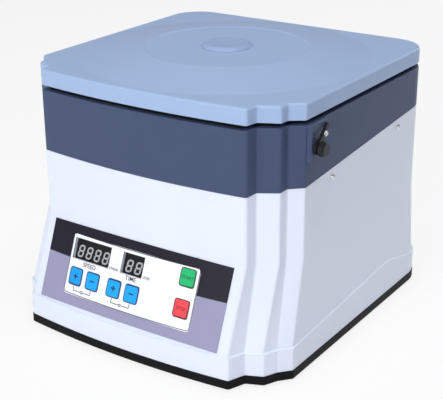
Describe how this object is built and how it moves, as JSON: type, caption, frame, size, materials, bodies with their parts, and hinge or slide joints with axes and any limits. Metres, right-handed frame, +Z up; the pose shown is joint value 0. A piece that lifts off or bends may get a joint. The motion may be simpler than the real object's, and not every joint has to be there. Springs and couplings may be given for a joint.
{
  "type": "cytocentrifuge",
  "caption": "Bench cytocentrifuge with a stepped two-colour cabinet, hinged lid, side latch, membrane panel with displays and a rotor of tilting slide holders.",
  "frame": {"origin": "centre of the bounding box's underside, on the bench under the feet", "axes": "+X to the right seen from the front, +Y to the rear, +Z up"},
  "size_m": [0.3742, 0.3975, 0.3117],
  "materials": {
    "base_tray": "satin black paint",
    "rubber_feet": "matte",
    "lower_housing": "semi-gloss white",
    "upper_housing": "semi-gloss slate blue",
    "rim_gasket": "matte",
    "chamber_bowl": "spun stainless steel",
    "chamber_seal": "matte",
    "side_screws": "plated",
    "control_label": "printed film",
    "membrane_panel": "printed film",
    "speed_display": "dark filter face",
    "time_display": "dark filter face",
    "control_board": "solder mask",
    "motor_can": "satin paint",
    "motor_stator": "laminated steel",
    "motor_bearings": "ground",
    "motor_plate": "zinc plated",
    "vibration_mounts": "matte",
    "hinge_leaves_body": "brushed",
    "hinge_pins": "ground",
    "power_inlet": "moulded",
    "switch_frame": "moulded",
    "fuse_holders": "moulded",
    "lid_shell": "semi-gloss pale blue",
    "lid_liner": "moulded",
    "port_cap": "semi-gloss pale blue",
    "hinge_leaves_lid": "brushed",
    "lid_keeper": "bent sheet",
    "latch_lever": "moulded",
    "latch_screw": "plated",
    "spindle": "ground",
    "motor_core": "laminated steel",
    "rotor_tray": "clear anodised",
    "trunnion_brackets": "clear anodised",
    "rotor_nut": "moulded",
    "power_rocker": "moulded",
    "slide_clip_1": "stainless spring steel",
    "glass_slide_1": "ground glass",
    "sample_funnel_1": "moulded",
    "slide_clip_2": "stainless spring steel",
    "glass_slide_2": "ground glass",
    "sample_funnel_2": "moulded",
    "slide_clip_3": "stainless spring steel",
    "glass_slide_3": "ground glass",
    "sample_funnel_3": "moulded",
    "slide_clip_4": "stainless spring steel",
    "glass_slide_4": "ground glass",
    "sample_funnel_4": "moulded",
    "slide_clip_5": "stainless spring steel",
    "glass_slide_5": "ground glass",
    "sample_funnel_5": "moulded",
    "slide_clip_6": "stainless spring steel",
    "glass_slide_6": "ground glass",
    "sample_funnel_6": "moulded",
    "key_speed_up": "printed film over a switch",
    "key_speed_down": "printed film over a switch",
    "key_time_up": "printed film over a switch",
    "key_time_down": "printed film over a switch",
    "key_start": "printed film over a switch",
    "key_stop": "printed film over a switch"
  },
  "bodies": {
    "cabinet": {"base_tray": "base_tray", "rubber_feet": "rubber_feet", "lower_housing": "lower_housing", "upper_housing": "upper_housing", "rim_gasket": "rim_gasket", "chamber_bowl": "chamber_bowl", "chamber_seal": "chamber_seal", "side_screws": "side_screws", "control_label": "control_label", "membrane_panel": "membrane_panel", "speed_display": "speed_display", "time_display": "time_display", "control_board": "control_board", "motor_can": "motor_can", "motor_stator": "motor_stator", "motor_bearings": "motor_bearings", "motor_plate": "motor_plate", "vibration_mounts": "vibration_mounts", "hinge_leaves_body": "hinge_leaves_body", "hinge_pins": "hinge_pins", "power_inlet": "power_inlet", "switch_frame": "switch_frame", "fuse_holders": "fuse_holders"},
    "lid": {"lid_shell": "lid_shell", "lid_liner": "lid_liner", "port_cap": "port_cap", "hinge_leaves_lid": "hinge_leaves_lid", "lid_keeper": "lid_keeper"},
    "latch": {"latch_lever": "latch_lever", "latch_screw": "latch_screw"},
    "rotor": {"spindle": "spindle", "motor_core": "motor_core", "rotor_tray": "rotor_tray", "trunnion_brackets": "trunnion_brackets", "rotor_nut": "rotor_nut"},
    "rocker": {"power_rocker": "power_rocker"},
    "holder_1": {"slide_clip_1": "slide_clip_1", "glass_slide_1": "glass_slide_1", "sample_funnel_1": "sample_funnel_1"},
    "holder_2": {"slide_clip_2": "slide_clip_2", "glass_slide_2": "glass_slide_2", "sample_funnel_2": "sample_funnel_2"},
    "holder_3": {"slide_clip_3": "slide_clip_3", "glass_slide_3": "glass_slide_3", "sample_funnel_3": "sample_funnel_3"},
    "holder_4": {"slide_clip_4": "slide_clip_4", "glass_slide_4": "glass_slide_4", "sample_funnel_4": "sample_funnel_4"},
    "holder_5": {"slide_clip_5": "slide_clip_5", "glass_slide_5": "glass_slide_5", "sample_funnel_5": "sample_funnel_5"},
    "holder_6": {"slide_clip_6": "slide_clip_6", "glass_slide_6": "glass_slide_6", "sample_funnel_6": "sample_funnel_6"},
    "key_speed_up": {"key_speed_up": "key_speed_up"},
    "key_speed_down": {"key_speed_down": "key_speed_down"},
    "key_time_up": {"key_time_up": "key_time_up"},
    "key_time_down": {"key_time_down": "key_time_down"},
    "key_start": {"key_start": "key_start"},
    "key_stop": {"key_stop": "key_stop"}
  },
  "joints": [
    {"name": "lid_hinge", "type": "hinge", "parent": "cabinet", "child": "lid", "pos_m": [-0.0045, 0.19417, 0.278], "axis": [-1, 0, 0], "range_deg": [0, 75]},
    {"name": "latch_turn", "type": "hinge", "parent": "cabinet", "child": "latch", "pos_m": [0.1705, -0.09203, 0.2495], "axis": [-1, 0, 0], "range_deg": [0, 60]},
    {"name": "rotor_spin", "type": "hinge", "parent": "cabinet", "child": "rotor", "pos_m": [-0.0045, 0.01397, 0.15], "axis": [0, 0, 1], "continuous": true},
    {"name": "holder_1_tilt", "type": "hinge", "parent": "rotor", "child": "holder_1", "pos_m": [-0.0045, -0.07803, 0.214], "axis": [1, 0, 0], "range_deg": [0, 11]},
    {"name": "holder_2_tilt", "type": "hinge", "parent": "rotor", "child": "holder_2", "pos_m": [0.07517, -0.03203, 0.214], "axis": [0.5, 0.866, 0], "range_deg": [0, 11]},
    {"name": "holder_3_tilt", "type": "hinge", "parent": "rotor", "child": "holder_3", "pos_m": [0.07517, 0.05997, 0.214], "axis": [-0.5, 0.866, 0], "range_deg": [0, 11]},
    {"name": "holder_4_tilt", "type": "hinge", "parent": "rotor", "child": "holder_4", "pos_m": [-0.0045, 0.10597, 0.214], "axis": [-1, 0, 0], "range_deg": [0, 11]},
    {"name": "holder_5_tilt", "type": "hinge", "parent": "rotor", "child": "holder_5", "pos_m": [-0.08417, 0.05997, 0.214], "axis": [-0.5, -0.866, 0], "range_deg": [0, 11]},
    {"name": "holder_6_tilt", "type": "hinge", "parent": "rotor", "child": "holder_6", "pos_m": [-0.08417, -0.03203, 0.214], "axis": [0.5, -0.866, 0], "range_deg": [0, 11]},
    {"name": "key_speed_up_press", "type": "slide", "parent": "cabinet", "child": "key_speed_up", "axis": [0.0626, 0.9267, -0.3706], "range_m": [0, 0.0005], "stiffness_N_per_m": 600, "springref_m": -0.0006},
    {"name": "key_speed_down_press", "type": "slide", "parent": "cabinet", "child": "key_speed_down", "axis": [0.0415, 0.9277, -0.371], "range_m": [0, 0.0005], "stiffness_N_per_m": 600, "springref_m": -0.0006},
    {"name": "key_time_up_press", "type": "slide", "parent": "cabinet", "child": "key_time_up", "axis": [0.0154, 0.9284, -0.3713], "range_m": [0, 0.0005], "stiffness_N_per_m": 600, "springref_m": -0.0006},
    {"name": "key_time_down_press", "type": "slide", "parent": "cabinet", "child": "key_time_down", "axis": [-0.0057, 0.9285, -0.3714], "range_m": [0, 0.0005], "stiffness_N_per_m": 600, "springref_m": -0.0006},
    {"name": "key_start_press", "type": "slide", "parent": "cabinet", "child": "key_start", "axis": [-0.061, 0.9268, -0.3707], "range_m": [0, 0.0005], "stiffness_N_per_m": 600, "springref_m": -0.0006},
    {"name": "key_stop_press", "type": "slide", "parent": "cabinet", "child": "key_stop", "axis": [-0.0606, 0.9268, -0.3707], "range_m": [0, 0.0005], "stiffness_N_per_m": 600, "springref_m": -0.0006},
    {"name": "rocker_tip", "type": "hinge", "parent": "cabinet", "child": "rocker", "pos_m": [-0.0525, 0.18797, 0.084], "axis": [1, 0, 0], "range_deg": [0, 20]}
  ],
  "couplings": [
    {"joint": "holder_2_tilt", "follows": "holder_1_tilt", "ratio": 1},
    {"joint": "holder_3_tilt", "follows": "holder_1_tilt", "ratio": 1},
    {"joint": "holder_4_tilt", "follows": "holder_1_tilt", "ratio": 1},
    {"joint": "holder_5_tilt", "follows": "holder_1_tilt", "ratio": 1},
    {"joint": "holder_6_tilt", "follows": "holder_1_tilt", "ratio": 1}
  ]
}
